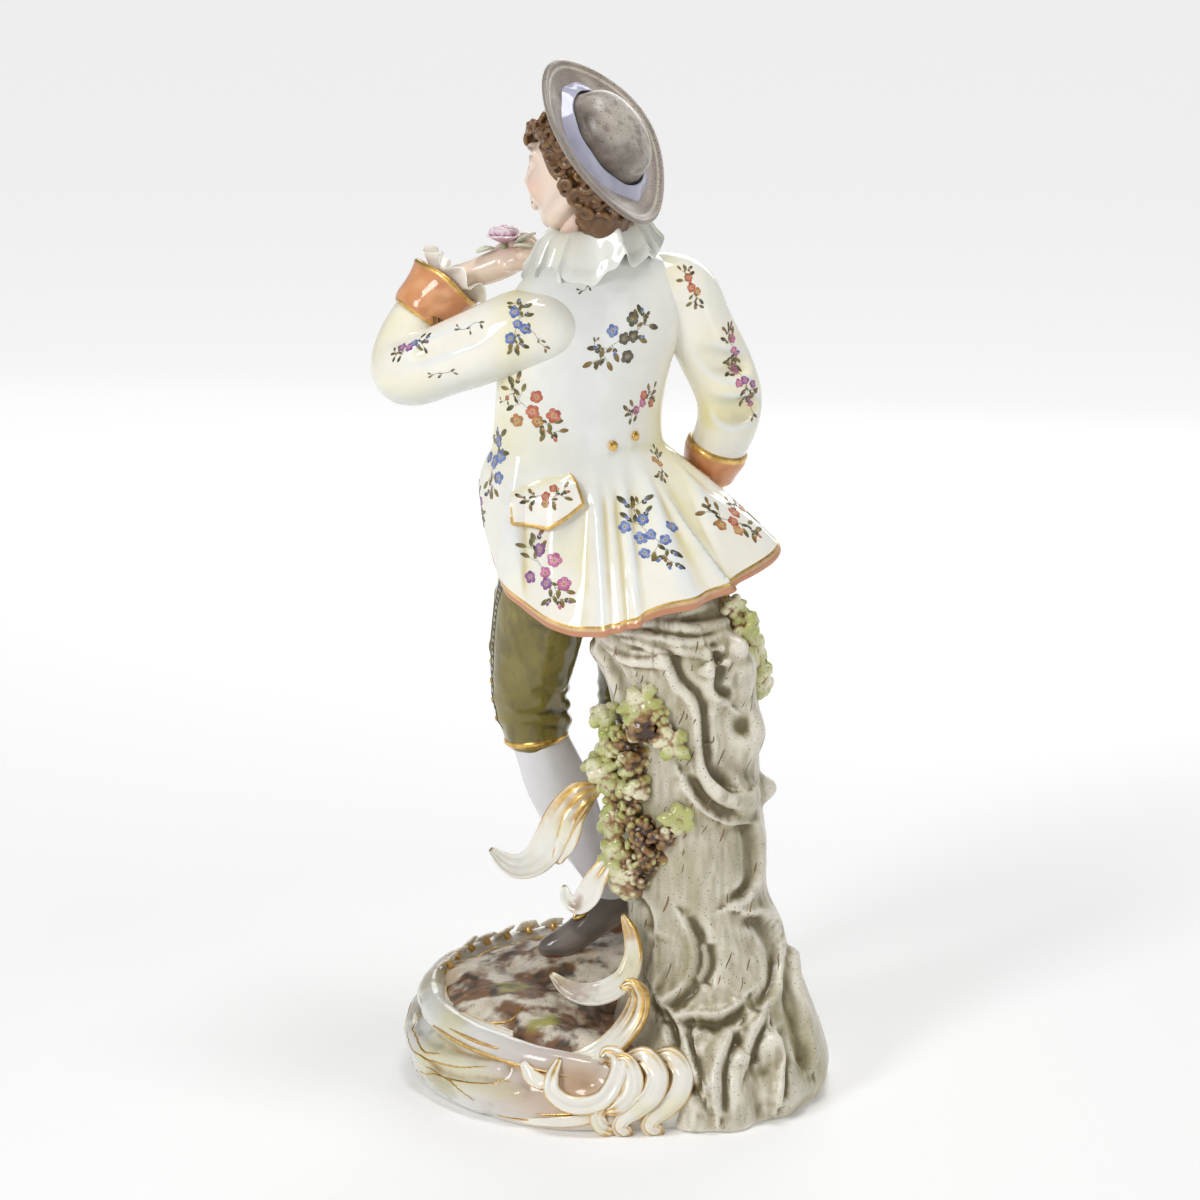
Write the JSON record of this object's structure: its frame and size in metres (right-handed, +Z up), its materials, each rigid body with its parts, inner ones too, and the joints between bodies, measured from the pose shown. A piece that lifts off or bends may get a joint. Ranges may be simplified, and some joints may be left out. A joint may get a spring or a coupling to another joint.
{
  "type": "porcelain figurine",
  "caption": "Glazed porcelain figurine of a standing gallant in a flowered coat and wide hat, leaning on a tree stump on a scrolled round base.",
  "frame": {"origin": "centre of the bounding box's footprint, on the plane the foot ring rests on", "axes": "+Z up, -Y out of the coat's back, so the chest and raised hand are towards +Y and -X and the stump's root is towards +X"},
  "size_m": [0.1827, 0.1647, 0.4066],
  "materials": {
    "base_glaze": "glossy clear glaze over white porcelain, with gilt lines",
    "biscuit": "unglazed, matt biscuit porcelain",
    "white_glaze": "glossy clear glaze over white porcelain, edges gilt",
    "ground_glaze": "glossy glaze over brushed brown, yellow and green patches",
    "garland_glaze": "glossy glaze over cream blossoms touched with gilt",
    "stump_glaze": "semi-glossy glaze over grey-green bark with brown strokes",
    "foliage_glaze": "glossy glaze over pale yellow-green with brown hollows",
    "shoe_glaze": "glossy dark grey-brown enamel",
    "gilt": "burnished gilding over glaze",
    "breeches_glaze": "glossy olive green enamel with an embroidered stripe",
    "waistcoat_glaze": "glossy pale yellow enamel",
    "coat_glaze": "glossy cream glaze with small flower sprays, edges gilt, lining salmon",
    "cuff_glaze": "glossy orange-salmon enamel edged with gilt",
    "flesh_glaze": "glossy flesh enamel",
    "rose_glaze": "glossy pink enamel",
    "hair_glaze": "glossy brown enamel, darker in the hollows",
    "hat_glaze": "stippled grey-taupe enamel under glaze",
    "ribbon_glaze": "glossy pale lilac enamel"
  },
  "bodies": {
    "root": {"base_casting": "base_glaze", "base_floor": "biscuit", "rim_scroll_left": "white_glaze", "rim_scroll_near": "white_glaze", "rim_scroll_front": "white_glaze", "rim_scroll_right": "white_glaze", "shell_foot_near": "white_glaze", "shell_foot_front": "white_glaze", "curl_by_shoe": "white_glaze", "stump_tendril": "white_glaze", "small_tendril": "white_glaze", "left_stocking": "white_glaze", "right_stocking": "white_glaze", "jabot": "white_glaze", "left_wrist_frill": "white_glaze", "right_wrist_frill": "white_glaze", "rose_leaves": "white_glaze", "neck_ruff": "white_glaze", "ground_mound": "ground_glaze", "rim_garland": "garland_glaze", "tree_stump": "stump_glaze", "stump_root": "stump_glaze", "foliage_top": "foliage_glaze", "foliage_middle": "foliage_glaze", "foliage_lower": "foliage_glaze", "foliage_right": "foliage_glaze", "left_shoe": "shoe_glaze", "right_shoe": "shoe_glaze", "shoe_buckles": "gilt", "knee_bands": "gilt", "waistcoat_buttons": "gilt", "back_buttons": "gilt", "left_breeches": "breeches_glaze", "right_breeches": "breeches_glaze", "breeches_seat": "breeches_glaze", "waistcoat": "waistcoat_glaze", "coat_back": "coat_glaze", "coat_skirt": "coat_glaze", "coat_left_front": "coat_glaze", "coat_right_front": "coat_glaze", "pocket_flaps": "coat_glaze", "left_upper_sleeve": "coat_glaze", "left_forearm": "coat_glaze", "right_upper_sleeve": "coat_glaze", "right_forearm": "coat_glaze", "left_cuff": "cuff_glaze", "right_cuff": "cuff_glaze", "left_hand": "flesh_glaze", "right_hand": "flesh_glaze", "neck": "flesh_glaze", "head": "flesh_glaze", "rose": "rose_glaze", "hair": "hair_glaze", "hat_brim": "hat_glaze", "hat_crown": "hat_glaze", "hat_ribbon": "ribbon_glaze"}
  },
  "joints": []
}
